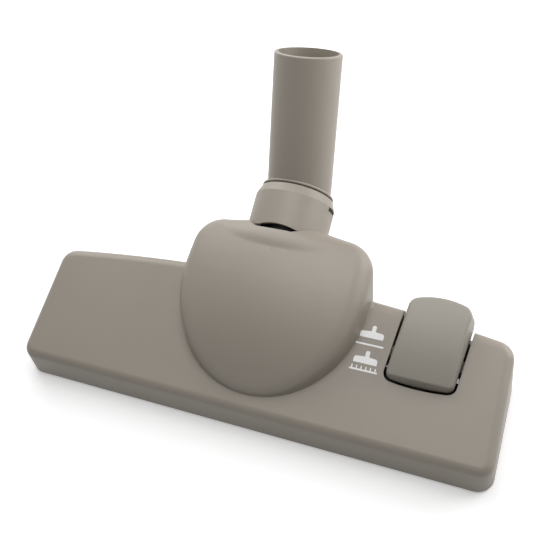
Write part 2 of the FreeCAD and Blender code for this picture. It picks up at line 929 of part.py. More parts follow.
def neck_duct():
    half = barrel_half_width + barrel_disc
    reach = half + trunnion_length
    outer = [
        rod_x(barrel_radius, (-half, half), pivot_y, pivot_z),
        rod_x(trunnion_radius, (-reach, reach), pivot_y, pivot_z),
        neck_rod(lower_duct_radius, 0, socket_start),
        neck_cone(lower_duct_radius, socket_radius, socket_start - socket_taper, socket_start),
        neck_rod(socket_radius, socket_start, socket_end),
    ]
    inner = [
        rod_x(barrel_radius - barrel_wall, (-barrel_half_width, barrel_half_width), pivot_y, pivot_z),
        neck_rod(lower_duct_radius - lower_duct_wall, 0, socket_end),
        neck_rod(socket_radius - socket_wall, socket_start + socket_step, socket_end + over),
        window_block(),
    ]
    inner += snap_windows(socket_radius - 2 * socket_wall, socket_radius + over)
    return outer[0].fuse(outer[1:]).cut(inner).removeSplitter()


def neck_collar():
    """The sleeve round the socket: a sloped mouth, an arched front edge and two snap windows."""
    shoulder = collar_end - collar_slope
    mouth = neck_cone(collar_radius, collar_mouth_radius, shoulder, collar_end)
    sleeve = neck_rod(collar_radius, collar_start, shoulder).fuse(mouth)
    rounds = [
        round_edge(sleeve, collar_radius, shoulder),
        round_edge(sleeve, collar_mouth_radius, collar_end),
    ]
    sleeve = sleeve.makeFillet(collar_edge_round, rounds)
    rib = collar_start + collar_rib_start
    sleeve = sleeve.cut([
        neck_rod(socket_radius + strip_gap, collar_start - over, collar_end + over),
        neck_rod(collar_bore, collar_start - over, rib),
        neck_rod(collar_bore, rib + collar_rib_width, collar_end + over),
    ])
    radius = (collar_arch_half_width ** 2 + collar_arch_depth ** 2) / (2 * collar_arch_depth)
    centre = along_neck(collar_start + collar_arch_depth - radius)
    upward = along_neck(0, 1) - along_neck(0)
    arch = Part.makeCylinder(radius, far, centre, upward)
    windows = snap_windows(collar_bore - over, collar_radius + over)
    return sleeve.cut([arch] + windows).removeSplitter()


def clip_ring(inner, outer):
    low = snap_centre - snap_height / 2
    return neck_rod(outer, low, low + snap_height).cut(neck_rod(inner, low - over, low + snap_height + over))


def tube_clip():
    """A split ring with two tabs that reach into the tube's groove and out to the windows."""
    ring = clip_ring(socket_radius + strip_gap / 2, collar_bore - strip_gap)
    groove = socket_radius - socket_wall - swivel_gap
    tabs = clip_ring(groove - clip_bite, collar_radius - clip_depth)
    wedges = side_wedges(clip_tab_angle, snap_centre - snap_height, snap_centre + snap_height)
    notch = Part.makeBox(clip_split, collar_radius, 2 * snap_height, V(-clip_split / 2, 0, -snap_height))
    upside_down = FreeCAD.Rotation(V(1, 0, 0), neck_rest + 270)
    notch.Placement = FreeCAD.Placement(along_neck(snap_centre), upside_down)
    return ring.fuse([tabs.common(wedge) for wedge in wedges]).cut(notch).removeSplitter()


def tube_axis():
    angle = neck_rest + elbow_bend
    return V(0, cos(angle), sin(angle))


def tube_wall_solid(elbow, axis, above):
    """The outside of the elbow and the straight socket, rounded at its mouth."""
    bend = Part.makeSphere(tube_radius, elbow).common(above)
    tube = Part.makeCylinder(tube_radius, tube_length, elbow, axis)
    mouth = elbow + axis * tube_length
    circles = [e for e in tube.Edges if e.Curve.TypeId == "Part::GeomCircle"]
    rim = [e for e in circles if (e.Curve.Center - mouth).Length < over]
    return [bend, tube.makeFillet(mouth_round, rim).common(above)]


def swivel_flange(low, high):
    flange = neck_rod(flange_radius, low, high)
    rim = [e for e in flange.Edges if e.CenterOfMass.distanceToPoint(along_neck(high)) < strip_gap]
    return flange.makeFillet(flange_round, rim)


def swivel_spigot(radius, low, high):
    """The end that turns in the neck's socket, with a groove for the clip."""
    groove_low = snap_centre - snap_height / 2 - swivel_gap
    groove = neck_rod(radius + over, groove_low, groove_low + snap_height + 2 * swivel_gap)
    return neck_rod(radius, low, high).cut(groove.cut(neck_rod(radius - spigot_groove, 0, far)))


def swivel_tube():
    """A spigot and a flange on the neck's axis, an elbow, and the straight socket for the wand."""
    flange_low = collar_end + flange_gap
    flange_top = flange_low + flange_height
    elbow = along_neck(flange_top + elbow_rise)
    axis = tube_axis()
    spigot_radius = socket_radius - socket_wall - swivel_gap
    spigot = swivel_spigot(spigot_radius, flange_low - spigot_length, flange_low)
    outside = tube_wall_solid(elbow, axis, neck_rod(far, flange_low, far))
    body = spigot.fuse([swivel_flange(flange_low, flange_top)] + outside)
    bore = tube_radius - tube_wall
    stop = bore - wand_stop
    holes = [
        neck_rod(spigot_radius - spigot_wall, flange_low - spigot_length - over, flange_top + elbow_rise),
        Part.makeSphere(stop, elbow),
        Part.makeCylinder(stop, tube_length, elbow, axis),
        Part.makeCylinder(bore, wand_depth, elbow + axis * (tube_length - wand_depth), axis),
    ]
    return body.cut(holes).removeSplitter()


# Pedal

def pedal_rel(y, z):
    return (pedal_axis_y + y, pedal_axis_z + z)


def pedal_profile(inset, low_front, low_rear):
    """The side outline of the pedal: an arc round the axle in front and a convex top, open to the rear."""
    radius = pedal_front_radius - inset

    def front_point(height):
        """The point of the front arc at a height above the axle."""
        return V(0, pedal_axis_y - math.sqrt(radius ** 2 - height ** 2), pedal_axis_z + height)

    rise = pedal_front_top_z - inset - pedal_axis_z
    front = front_point(rise)
    rear = V(0, pedal_top_end_y, pedal_top_end_z - inset)
    chord = rear - front
    square = V(0, -chord.z, chord.y).normalize()
    top_middle = front + chord * 0.5 + square * pedal_crown
    toe = V(0, pedal_top_end_y, pedal_axis_z + low_rear)
    low = front_point(low_front)
    edges = [
        arc(front, top_middle, rear),
        line(rear, toe),
        line(toe, low),
        arc(low, front_point((rise + low_front) / 2), front),
    ]
    return Part.Face(Part.Wire(edges))


def pedal_body(side_inset, inset, low_front, low_rear, rear):
    body = pedal_profile(inset, low_front, low_rear).extrude(V(far, 0, 0))
    return body.common(pedal_form(side_inset, rear))


def outer_cap():
    """The pedal's outer form with its top edges softened."""
    cap = pedal_body(0, 0, -cap_front_drop, cap_rear_rise, pedal_rear_y)
    raised = [face for face in cap.Faces if face.CenterOfMass.z > pedal_front_top_z]
    top = max(raised, key=lambda face: face.Area)
    return cap.makeFillet(pedal_edge_round, top.OuterWire.Edges)


def pedal_cap():
    """The visible shell of the pedal, with softened top edges and a recessed skirt below."""
    skirt_rear = pedal_rear_y - pedal_skirt_rear
    skirt = pedal_body(pedal_skirt_inset, pedal_skirt_inset, -skirt_front_drop, 0, skirt_rear)
    hollow = pedal_body(pedal_skirt_inset + pedal_wall, pedal_skirt_inset + pedal_wall, -hollow_drop,
                        -hollow_drop, skirt_rear - pedal_wall)
    return outer_cap().fuse(skirt).cut(hollow)


def pedal_link():
    """The forked arm that drives the lift shaft."""
    x = (link_x - link_width / 2, link_x + link_width / 2)
    reach = link_span - shaft_arm_length
    slot = lift_pin_radius + pin_clearance
    width = slot + link_wall
    arm = block(x, (0, reach + link_nose), (-width, width))
    wide = (x[0] - over, x[1] + over)
    arm = arm.cut(block(wide, (reach - link_slot_start, reach + link_nose + over), (-slot, slot)))
    arm.rotate(V(0, 0, 0), V(1, 0, 0), link_direction + pedal_travel / 2)
    arm.translate(V(0, pedal_axis_y, pedal_axis_z))
    return arm


def pedal_cam():
    """Two flats under the hub, one for each position of the pedal."""
    corner = cam_height * tan(pedal_travel / 2)
    end = corner + cam_run * cos(pedal_travel)
    points = [(-cam_front, -cam_height), (corner, -cam_height),
              (end, cam_run * sin(pedal_travel) - cam_height), (end, 0), (-cam_front, 0)]
    x = link_x + link_width / 2 + cam_from_link
    return side_plate([pedal_rel(y, z) for y, z in points], (x, x + cam_width))


def pedal():
    low, high = pedal_tower_x()
    hub_x = (low + pedal_tower_wall + hub_end_gap, high - hub_end_gap)
    hub = rod_x(pedal_hub_radius, hub_x, pedal_axis_y, pedal_axis_z)
    web = [pedal_rel(-web_front, 0), pedal_rel(web_front, 0), pedal_rel(web_rear, web_height),
           pedal_rel(-web_front, web_height)]
    webs = [side_plate(web, (x, x + web_wall))
            for x in (hub_x[0], link_x - web_wall / 2, hub_x[1] - web_wall)]
    inside = outer_cap()
    parts = [hub, pedal_link(), pedal_cam()] + [web.common(inside) for web in webs]
    bore = rod_x(pedal_axle_radius + running_gap, (0, far), pedal_axis_y, pedal_axis_z)
    return pedal_cap().fuse(parts).cut(bore).removeSplitter()


def pedal_axle():
    low, high = pedal_tower_x()
    x = (low - leaf_overhang, high + pedal_tower_wall + leaf_overhang)
    return rod_x(pedal_axle_radius, x, pedal_axis_y, pedal_axis_z)


def leaf_block(grow):
    """The leaf spring across the two posts, grown on all sides to cut its slots."""
    low, high = pedal_tower_x()
    top = pedal_axis_z - cam_height - leaf_gap
    half = leaf_width / 2 + grow
    side = leaf_overhang + grow
    return block((low - side, high + pedal_tower_wall + side), (pedal_axis_y - half, pedal_axis_y + half),
                 (top - leaf_thickness - grow, top + grow))


def detent_spring():
    return leaf_block(0)


# Lift shaft

def shaft_arm(x, length, angle, pin_x):
    """An arm from the shaft's centre with a pin across its end."""
    width = shaft_radius
    arm = block(x, (0, length), (-width, width))
    arm = arm.fuse([rod_x(width, x, length, 0), rod_x(lift_pin_radius, pin_x, length, 0)])
    arm.rotate(V(0, 0, 0), V(1, 0, 0), angle)
    arm.translate(V(0, shaft_y, shaft_z))
    return arm


def lift_shaft():
    half = lift_arm_width / 2
    inner, outer = lift_arm_x - half, lift_arm_x + half
    pin_end = outer + fork_side_gap + fork_width + fork_side_gap
    shaft = rod_x(shaft_radius, (-outer, outer), shaft_y, shaft_z)
    arm = shaft_arm((inner, outer), lift_arm_length, 180 - shaft_swing, (outer, pin_end))
    side = link_x + link_width / 2 + fork_side_gap
    link_angle = link_direction + 180 - shaft_swing
    link_pin = (link_x - link_width / 2 - fork_side_gap, side)
    link_arm = shaft_arm((side, side + lift_arm_width), shaft_arm_length, link_angle, link_pin)
    return shaft.fuse(both_sides(arm) + [link_arm]).removeSplitter()


# Brush carrier

def beam(y):
    half = beam_width / 2
    bar = (-beam_half_length, beam_half_length)
    return block(bar, (y - half, y + half), (beam_z, beam_z + beam_height))


def beam_groove(y):
    half = groove_width / 2
    return block((-far, far), (y - half, y + half), (beam_z - over, beam_z + groove_depth))


def end_bar():
    x = (beam_half_length - end_bar_width, beam_half_length)
    return block(x, (front_beam_y, rear_beam_y), (beam_z, beam_z + end_bar_height))


def carrier_fork():
    """A fork on the front beam that takes a pin of the lift shaft, and the space to clear for it."""
    pin_y = shaft_y - lift_arm_length * cos(shaft_swing)
    pin_z = shaft_z + lift_arm_length * sin(shaft_swing)
    gap = lift_pin_radius + pin_clearance
    arm_inner = lift_arm_x - lift_arm_width / 2 - fork_side_gap
    low = lift_arm_x + lift_arm_width / 2 + fork_side_gap
    x = (low, low + fork_width)
    slot_front = shaft_y - lift_arm_length - gap
    reach = pin_y + gap + fork_lip
    top = pin_z + gap + fork_top_wall
    body = block(x, (slot_front - fork_front_wall, reach), (beam_z + beam_height - fork_foot, top))
    slot = block((x[0] - over, x[1] + over), (slot_front, reach + over), (pin_z - gap, pin_z + gap))
    arm_front = shaft_y - lift_arm_length - shaft_radius - pin_clearance
    arm_room = block((arm_inner, low), (arm_front, reach + over), (pin_z - gap - over, far))
    return body, [slot, arm_room]


def brush_carrier():
    """Two grooved beams joined at their ends, with a fork near each end of the front one."""
    fork, spaces = carrier_fork()
    beams = [beam(front_beam_y), beam(rear_beam_y)]
    body = beams[0].fuse([beams[1]] + both_sides(end_bar()) + both_sides(fork))
    cutters = [beam_groove(front_beam_y), beam_groove(rear_beam_y)]
    for space in spaces:
        cutters += both_sides(space)
    return body.cut(cutters).removeSplitter()


def brush(y):
    """A backing strip with a row of tufts."""
    half = tuft_count * tuft_pitch / 2
    back_half = groove_width / 2 - strip_gap
    low = beam_z + strip_sink
    root = low + over
    end = half + strip_end
    back = block((-end, end), (y - back_half, y + back_half), (low, beam_z + groove_depth))
    comb = [V(-half, 0, root)]
    for number in range(tuft_count):
        x = -half + number * tuft_pitch + (tuft_pitch - tuft_length) / 2
        comb += [V(x, 0, root), V(x, 0, bristle_bottom), V(x + tuft_length, 0, bristle_bottom),
                 V(x + tuft_length, 0, root)]
    comb += [V(half, 0, root), V(half, 0, root + over), V(-half, 0, root + over)]
    tufts = polygon(comb).extrude(V(0, tuft_width, 0))
    tufts.translate(V(0, y - tuft_width / 2, 0))
    return back.fuse(tufts).removeSplitter()


# Wheels and screws

def wheel_outline():
    """Half of the wheel's cross-section, from the bore out to the tread, at negative x."""
    half = wheel_width / 2
    hub = wheel_bore + wheel_hub
    rim = wheel_radius - wheel_rim
    return [V(-half, wheel_bore, 0), V(-half, hub, 0), V(wheel_dish - half, hub, 0),
            V(wheel_dish - half, rim, 0), V(-half, rim, 0), V(-half, wheel_radius - wheel_corner, 0)]


def tread_corner(side):
    """The rounded corner of the tread on one side."""
    half = wheel_width / 2
    bulge = wheel_corner * (1 - cos(45))
    low = V(side * half, wheel_radius - wheel_corner, 0)
    middle = V(side * (half - bulge), wheel_radius - bulge, 0)
    return arc(low, middle, V(side * (half - wheel_corner), wheel_radius, 0))


def wheel(side):
    """A wheel with a rounded tread, recessed sides and a hub."""
    left = wheel_outline()
    right = [V(-point.x, point.y, 0) for point in left]
    tread = wheel_width / 2 - wheel_corner
    edges = [line(a, b) for points in (left, right) for a, b in zip(points, points[1:])]
    edges += [tread_corner(-1), tread_corner(1), line(left[0], right[0])]
    edges.append(line(V(-tread, wheel_radius, 0), V(tread, wheel_radius, 0)))
    outline = Part.Wire(Part.__sortEdges__(edges))
    body = Part.Face(outline).revolve(V(0, 0, 0), V(1, 0, 0), 360)
    body.translate(V(side * wheel_x, wheel_y, wheel_radius + wheel_lift))
    return body


def wheel_axle(side):
    half = wheel_half_span() + leaf_overhang
    x = side * wheel_x
    return rod_x(wheel_axle_radius, (x - half, x + half), wheel_y, wheel_radius + wheel_lift)


def housing_screw(x, y):
    """A countersunk screw seen from below: a flat head with a cross recess, and its shank."""
    low = frame_z - screw_head_height
    head = rod_z(screw_head_radius, x, y, (low, frame_z))
    deep = (low - over, low + screw_cross_depth)
    half = screw_cross_width / 2
    reach = screw_cross_reach
    cross = [block((x - reach, x + reach), (y - half, y + half), deep),
             block((x - half, x + half), (y - reach, y + reach), deep)]
    shank = rod_z(screw_radius - screw_thread_gap, x, y, (frame_z, frame_z + screw_length))
    return head.cut(cross).fuse(shank).removeSplitter()


def housing_screws():
    return Part.makeCompound([housing_screw(x, y) for x, y in screw_places()])


def model():
    """Every sub-part by its name."""
    parts = {
        "upper_housing": upper_housing(),
        "base_frame": base_frame(),
        "duct_cover": duct_cover(),
        "sole_plate": sole_plate(),
        "neck_duct": neck_duct(),
        "neck_collar": neck_collar(),
        "swivel_tube": swivel_tube(),
        "tube_clip": tube_clip(),
        "pedal": pedal(),
        "pedal_axle": pedal_axle(),
        "detent_spring": detent_spring(),
        "lift_shaft": lift_shaft(),
        "brush_carrier": brush_carrier(),
        "front_brush": brush(front_beam_y),
        "rear_brush": brush(rear_beam_y),
        "housing_screws": housing_screws(),
    }
    for name, place in lint_places().items():
        parts["lint_strip_" + name] = lint_block(place, 0)
    for name, side in (("left", -1), ("right", 1)):
        parts["wheel_" + name] = wheel(side)
        parts["wheel_axle_" + name] = wheel_axle(side)
    return parts


os.makedirs("parts", exist_ok=True)
for node, shape in model().items():
    shape.exportStep("parts/" + node + ".step")
    print(node, len(shape.Solids), shape.isValid(), round(shape.Volume))
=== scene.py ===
import json
import math
import random

import bmesh
import bpy
from bpy.props import FloatProperty, FloatVectorProperty, IntProperty, PointerProperty, StringProperty
from mathutils import Matrix, Vector
from mathutils.bvhtree import BVHTree

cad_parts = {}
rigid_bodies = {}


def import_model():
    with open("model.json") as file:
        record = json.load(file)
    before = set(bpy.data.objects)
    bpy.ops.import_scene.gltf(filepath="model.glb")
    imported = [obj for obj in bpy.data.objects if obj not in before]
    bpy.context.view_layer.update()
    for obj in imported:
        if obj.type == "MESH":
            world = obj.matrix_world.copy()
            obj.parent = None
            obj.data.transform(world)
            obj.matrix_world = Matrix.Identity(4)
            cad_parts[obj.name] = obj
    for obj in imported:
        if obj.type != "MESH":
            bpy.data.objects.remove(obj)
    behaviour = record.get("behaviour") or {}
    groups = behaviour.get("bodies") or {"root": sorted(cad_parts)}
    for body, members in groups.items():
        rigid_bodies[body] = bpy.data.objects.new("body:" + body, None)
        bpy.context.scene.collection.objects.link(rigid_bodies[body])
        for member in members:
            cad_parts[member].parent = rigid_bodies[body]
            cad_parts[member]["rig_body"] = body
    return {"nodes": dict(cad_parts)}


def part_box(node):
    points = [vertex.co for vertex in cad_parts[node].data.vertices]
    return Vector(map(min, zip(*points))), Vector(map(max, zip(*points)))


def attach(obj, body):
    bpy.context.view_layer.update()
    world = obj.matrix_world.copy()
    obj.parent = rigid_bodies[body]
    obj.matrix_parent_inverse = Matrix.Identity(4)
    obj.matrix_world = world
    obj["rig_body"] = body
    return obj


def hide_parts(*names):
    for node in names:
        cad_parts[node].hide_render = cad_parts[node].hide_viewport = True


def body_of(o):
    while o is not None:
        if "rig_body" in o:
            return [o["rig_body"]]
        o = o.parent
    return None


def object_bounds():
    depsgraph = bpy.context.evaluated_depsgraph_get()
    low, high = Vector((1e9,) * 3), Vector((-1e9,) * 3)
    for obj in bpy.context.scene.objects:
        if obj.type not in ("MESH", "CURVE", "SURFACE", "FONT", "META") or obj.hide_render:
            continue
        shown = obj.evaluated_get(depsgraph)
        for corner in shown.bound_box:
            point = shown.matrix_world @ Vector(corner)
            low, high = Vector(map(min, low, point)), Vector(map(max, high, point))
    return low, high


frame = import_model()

bl_info = {
    "name": "Vacuum floor head",
    "version": (1, 0, 0),
    "blender": (4, 5, 0),
    "location": "View3D > Sidebar > Floor head",
    "description": "Dresses the floor head's CAD model with finished surfaces, bristles, pile and wheels",
    "category": "Object",
}

CAD_LOW, CAD_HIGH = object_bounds()
MM = 0.001

# The mesh layer that marks faces as strong or weak for weighted normals, and its mark for strong
FACE_STRENGTH = "__mod_weightednormals_faceweight"
STRONG = 16384


# Sizes and colours

class MouldingSettings(bpy.types.PropertyGroup):
    casing: StringProperty(name="Casing", description="Colour of the moulded casing", default="#938B80")
    tube: StringProperty(name="Tube", description="Colour of the tube and its collar", default="#958D82")
    pedal: StringProperty(name="Pedal", description="Colour of the pedal", default="#948F85")
    frame: StringProperty(name="Frame", description="Colour of the black mouldings", default="#1D1C1B")
    working: StringProperty(name="Mechanism", description="Colour of the moving parts", default="#D8D5CC")
    grain: FloatProperty(name="Grain", description="Width of one cell of the spark-eroded grain",
                         default=0.00045, unit="LENGTH")


class SignSettings(bpy.types.PropertyGroup):
    ink: StringProperty(name="Ink", description="Colour of the pad-printed signs", default="#FFFFFD")
    centre_x: FloatProperty(name="Across", description="Middle of the signs along the head",
                            default=0.0618, unit="LENGTH")
    hard_y: FloatProperty(name="Hard floor", description="Foot of the hard floor sign",
                          default=-0.0029, unit="LENGTH")
    carpet_y: FloatProperty(name="Carpet", description="Foot of the carpet sign",
                            default=-0.0164, unit="LENGTH")
    width: FloatProperty(name="Width", description="Length of a sign's base line",
                         default=0.0148, unit="LENGTH")
    line: FloatProperty(name="Line", description="Thickness of the base line",
                        default=0.00095, unit="LENGTH")
    nozzle_width: FloatProperty(name="Nozzle width", description="Width of the nozzle over the line",
                                default=0.0126, unit="LENGTH")
    nozzle_foot: FloatProperty(name="Nozzle foot", description="Height of the nozzle's foot",
                               default=0.004, unit="LENGTH")
    shoulder: FloatProperty(name="Shoulder", description="Height of the nozzle's ends",
                            default=0.0032, unit="LENGTH")
    brow: FloatProperty(name="Brow", description="Height of the nozzle at its stem",
                        default=0.0036, unit="LENGTH")
    stem: FloatProperty(name="Stem", description="Height of the stem's top over the nozzle's foot",
                        default=0.0068, unit="LENGTH")
    stem_width: FloatProperty(name="Stem width", description="Width of the stem",
                              default=0.0022, unit="LENGTH")
    stem_shift: FloatProperty(name="Stem shift", description="From the sign's middle to the stem's",
                              default=0.0004, unit="LENGTH")
    tufts: IntProperty(name="Tufts", description="Number of tufts on the carpet's line", default=6)
    tuft_pitch: FloatProperty(name="Tuft pitch", description="Distance from tuft to tuft",
                              default=0.00248, unit="LENGTH")
    tuft_top: FloatProperty(name="Tuft height", description="Height of the tufts' tips",
                            default=0.0026, unit="LENGTH")
    lift: FloatProperty(name="Lift", description="Height of the ink over the casing",
                        default=0.00006, unit="LENGTH")


class BristleSettings(bpy.types.PropertyGroup):
    colour: StringProperty(name="Bristles", description="Colour of the bristles", default="#1A1A1C")
    pitch: FloatProperty(name="Pitch", description="Distance from tuft to tuft",
                         default=0.005, unit="LENGTH")
    tuft: FloatVectorProperty(name="Tuft", description="Length and width of a tuft at its tips",
                              default=(0.0042, 0.0026), size=2, unit="LENGTH")
    thickness: FloatProperty(name="Thickness", description="Diameter of one bristle",
                             default=0.00028, unit="LENGTH")
    rows: IntProperty(name="Rows", description="Rows of bristles across a tuft", default=6)
    columns: IntProperty(name="Columns", description="Bristles in one row of a tuft", default=10)
    strip: FloatProperty(name="Strip", description="Depth of the strip that the tufts are set in",
                         default=0.0031, unit="LENGTH")


class PileSettings(bpy.types.PropertyGroup):
    colour: StringProperty(name="Pile", description="Colour of the lint strips", default="#A5241F")
    spacing: FloatProperty(name="Spacing", description="Distance between tips of the pile",
                           default=0.00042, unit="LENGTH")
    lean: FloatProperty(name="Lean", description="Lean of the pile",
                        default=math.radians(42), subtype="ANGLE")
    cloth: FloatProperty(name="Cloth", description="Thickness of the woven ground",
                         default=0.00022, unit="LENGTH")
    border: FloatVectorProperty(name="Border", description="Bare cloth at the ends and the sides",
                                default=(0.0006, 0.0004), size=2, unit="LENGTH")


class WheelSettings(bpy.types.PropertyGroup):
    tread: StringProperty(name="Tread", description="Colour of the soft tread", default="#2B2A29")
    bore: FloatProperty(name="Bore", description="Radius of the axle's hole",
                        default=0.0016, unit="LENGTH")
    hub: FloatProperty(name="Hub", description="Radius of the hub's faces",
                       default=0.0034, unit="LENGTH")
    depth: FloatProperty(name="Tread depth", description="From the rim to the tread's surface",
                         default=0.0022, unit="LENGTH")
    dish: FloatProperty(name="Dish", description="Depth of the recessed sides",
                        default=0.0016, unit="LENGTH")
    groove: FloatProperty(name="Groove", description="Depth of the tread's grooves",
                          default=0.0004, unit="LENGTH")


class MetalSettings(bpy.types.PropertyGroup):
    plate: StringProperty(name="Sole plate", description="Colour of the steel sole", default="#C9C8C4")
    zinc: StringProperty(name="Zinc", description="Colour of the screws and pins", default="#BDBFC0")


class StageSettings(bpy.types.PropertyGroup):
    floor: StringProperty(name="Floor", description="Colour of the floor", default="#F4F4F4")
    near: FloatVectorProperty(name="Near", description="Distance and glow of the floor by the object",
                              default=(0.3, 0.34), size=2)
    far: FloatVectorProperty(name="Far", description="Distance and glow of the open floor",
                             default=(1.0, 1.0), size=2)
    camera: FloatVectorProperty(name="Camera", description="Place of the camera", size=3,
                                default=(0.127282, -0.197534, 0.373298), subtype="XYZ", unit="LENGTH")
    back: FloatVectorProperty(name="Back", description="Direction from the scene to the camera",
                              default=(0.30253858, -0.52826214, 0.79335334), size=3, subtype="DIRECTION")
    right: FloatVectorProperty(name="Right", description="The picture's right in the scene",
                               default=(0.93321525, 0.33346333, -0.13383389), size=3, subtype="DIRECTION")
    lens: FloatProperty(name="Lens", description="Focal length in millimetres", default=49.13)
    sensor: FloatProperty(name="Sensor", description="Width of the film in millimetres", default=36.0)
    world: FloatProperty(name="World", description="Strength of the even light", default=0.16)


class FloorHeadSettings(bpy.types.PropertyGroup):
    moulding: PointerProperty(type=MouldingSettings)
    sign: PointerProperty(type=SignSettings)
    bristle: PointerProperty(type=BristleSettings)
    pile: PointerProperty(type=PileSettings)
    wheel: PointerProperty(type=WheelSettings)
    metal: PointerProperty(type=MetalSettings)
    stage: PointerProperty(type=StageSettings)


# Materials

def linear(colour):
    """The linear RGBA of an sRGB hex colour."""
    values = [int(colour[i:i + 2], 16) / 255 for i in (1, 3, 5)]
    return [v / 12.92 if v <= 0.04045 else ((v + 0.055) / 1.055) ** 2.4 for v in values] + [1.0]


def shade(colour, factor):
    """A linear colour made lighter or darker."""
    return [min(1.0, c * factor) for c in colour[:3]] + [1.0]


def per_size(millimetres):
    """The scale that gives a noise one cell per so many millimetres on Object coordinates."""
    return 1000.0 / millimetres


def add_node(tree, kind, inputs=None, **settings):
    """Adds a node, sets it up, and fills its inputs with values or links."""
    node = tree.nodes.new(kind)
    for name, value in settings.items():
        setattr(node, name, value)
    for key, value in (inputs or {}).items():
        if isinstance(value, bpy.types.NodeSocket):
            tree.links.new(value, node.inputs[key])
        else:
            node.inputs[key].default_value = value
    return node


def new_material(name):
    """An empty node material with its output node."""
    material = bpy.data.materials.new(name)
    material.use_nodes = True
    material.node_tree.nodes.clear()
    output = add_node(material.node_tree, "ShaderNodeOutputMaterial")
    return material, material.node_tree, output


def mottled(tree, colour, size, spread, coordinates):
    """The colour with slow patches a little lighter and darker."""
    noise = add_node(tree, "ShaderNodeTexNoise", {"Vector": coordinates, "Scale": per_size(size),
                                                  "Detail": 3.0, "Roughness": 0.55})
    ramp = add_node(tree, "ShaderNodeValToRGB", {"Fac": noise.outputs["Fac"]})
    ramp.color_ramp.elements[0].position = 0.3
    ramp.color_ramp.elements[0].color = shade(colour, 1 - spread)
    ramp.color_ramp.elements[1].position = 0.7
    ramp.color_ramp.elements[1].color = shade(colour, 1 + spread)
    return ramp.outputs["Color"]


def moulded_abs(name, colour, grain):
    """ABS from a spark-eroded mould: a fine even grain that spreads its soft shine, with faint patches."""
    material, tree, output = new_material(name)
    roughness, play = 0.46, 0.03
    place = add_node(tree, "ShaderNodeTexCoord").outputs["Object"]
    base = mottled(tree, linear(colour), 38.0, 0.02, place)
    cells = add_node(tree, "ShaderNodeTexNoise", {"Vector": place, "Scale": per_size(grain / MM),
                                                  "Detail": 2.0, "Roughness": 0.6})
    bump = add_node(tree, "ShaderNodeBump", {"Height": cells.outputs["Fac"], "Strength": 0.35,
                                             "Distance": 0.00002})
    slow = add_node(tree, "ShaderNodeTexNoise", {"Vector": place, "Scale": per_size(22.0), "Detail": 2.0})
    gloss = add_node(tree, "ShaderNodeMapRange", {"Value": slow.outputs["Fac"],
                                                  "To Min": roughness - play,
                                                  "To Max": roughness + play})
    shader = add_node(tree, "ShaderNodeBsdfPrincipled", {"Base Color": base, "IOR": 1.53,
                                                         "Roughness": gloss.outputs["Result"],
                                                         "Normal": bump.outputs["Normal"]})
    tree.links.new(shader.outputs["BSDF"], output.inputs["Surface"])
    return material


def acetal(name, colour):
    """Acetal straight from a polished mould: milky, slick and a little see-through at its edges."""
    material, tree, output = new_material(name)
    place = add_node(tree, "ShaderNodeTexCoord").outputs["Object"]
    base = mottled(tree, linear(colour), 15.0, 0.03, place)
    shader = add_node(tree, "ShaderNodeBsdfPrincipled", {"Base Color": base, "Roughness": 0.32,
                                                         "IOR": 1.48, "Subsurface Weight": 0.1,
                                                         "Subsurface Scale": 0.001})
    tree.links.new(shader.outputs["BSDF"], output.inputs["Surface"])
    return material


def rolled_steel(name, colour):
    """Bright cold-rolled sheet: fine lines along the head that stretch its shine across them."""
    material, tree, output = new_material(name)
    place = add_node(tree, "ShaderNodeTexCoord").outputs["Object"]
    stretched = add_node(tree, "ShaderNodeMapping", {"Vector": place, "Scale": (0.02, 1.0, 1.0)})
    lines = add_node(tree, "ShaderNodeTexNoise", {"Vector": stretched.outputs["Vector"],
                                                  "Scale": per_size(0.35), "Detail": 3.0})
    gloss = add_node(tree, "ShaderNodeMapRange", {"Value": lines.outputs["Fac"],
                                                  "To Min": 0.22, "To Max": 0.42})
    bump = add_node(tree, "ShaderNodeBump", {"Height": lines.outputs["Fac"], "Strength": 0.3,
                                             "Distance": 0.00001})
    base = mottled(tree, linear(colour), 30.0, 0.04, place)
    shader = add_node(tree, "ShaderNodeBsdfPrincipled", {"Base Color": base, "Metallic": 1.0,
                                                         "Roughness": gloss.outputs["Result"],
                                                         "Normal": bump.outputs["Normal"]})
    tree.links.new(shader.outputs["BSDF"], output.inputs["Surface"])
    return material


def zinc_plate(name, colour):
    """Zinc-plated steel: a pale metal with small cloudy crystals in its shine."""
    material, tree, output = new_material(name)
    place = add_node(tree, "ShaderNodeTexCoord").outputs["Object"]
    crystals = add_node(tree, "ShaderNodeTexVoronoi", {"Vector": place, "Scale": per_size(0.8)})
    gloss = add_node(tree, "ShaderNodeMapRange", {"Value": crystals.outputs["Distance"], "To Min": 0.26,
                                                  "To Max": 0.4})
    base = mottled(tree, linear(colour), 3.0, 0.06, place)
    shader = add_node(tree, "ShaderNodeBsdfPrincipled", {"Base Color": base, "Metallic": 1.0,
                                                         "Roughness": gloss.outputs["Result"]})
    tree.links.new(shader.outputs["BSDF"], output.inputs["Surface"])
    return material


def nylon_fibre(name, colour, sheen):
    """Drawn nylon: dark smooth threads, each with a narrow shine, a shade apart from its neighbours."""
    material, tree, output = new_material(name)
    place = add_node(tree, "ShaderNodeTexCoord").outputs["Object"]
    base = mottled(tree, linear(colour), 0.6, 0.35, place)
    shader = add_node(tree, "ShaderNodeBsdfPrincipled", {"Base Color": base, "Roughness": 0.38, "IOR": 1.53,
                                                         "Sheen Weight": sheen, "Sheen Roughness": 0.4})
    tree.links.new(shader.outputs["BSDF"], output.inputs["Surface"])
    return material


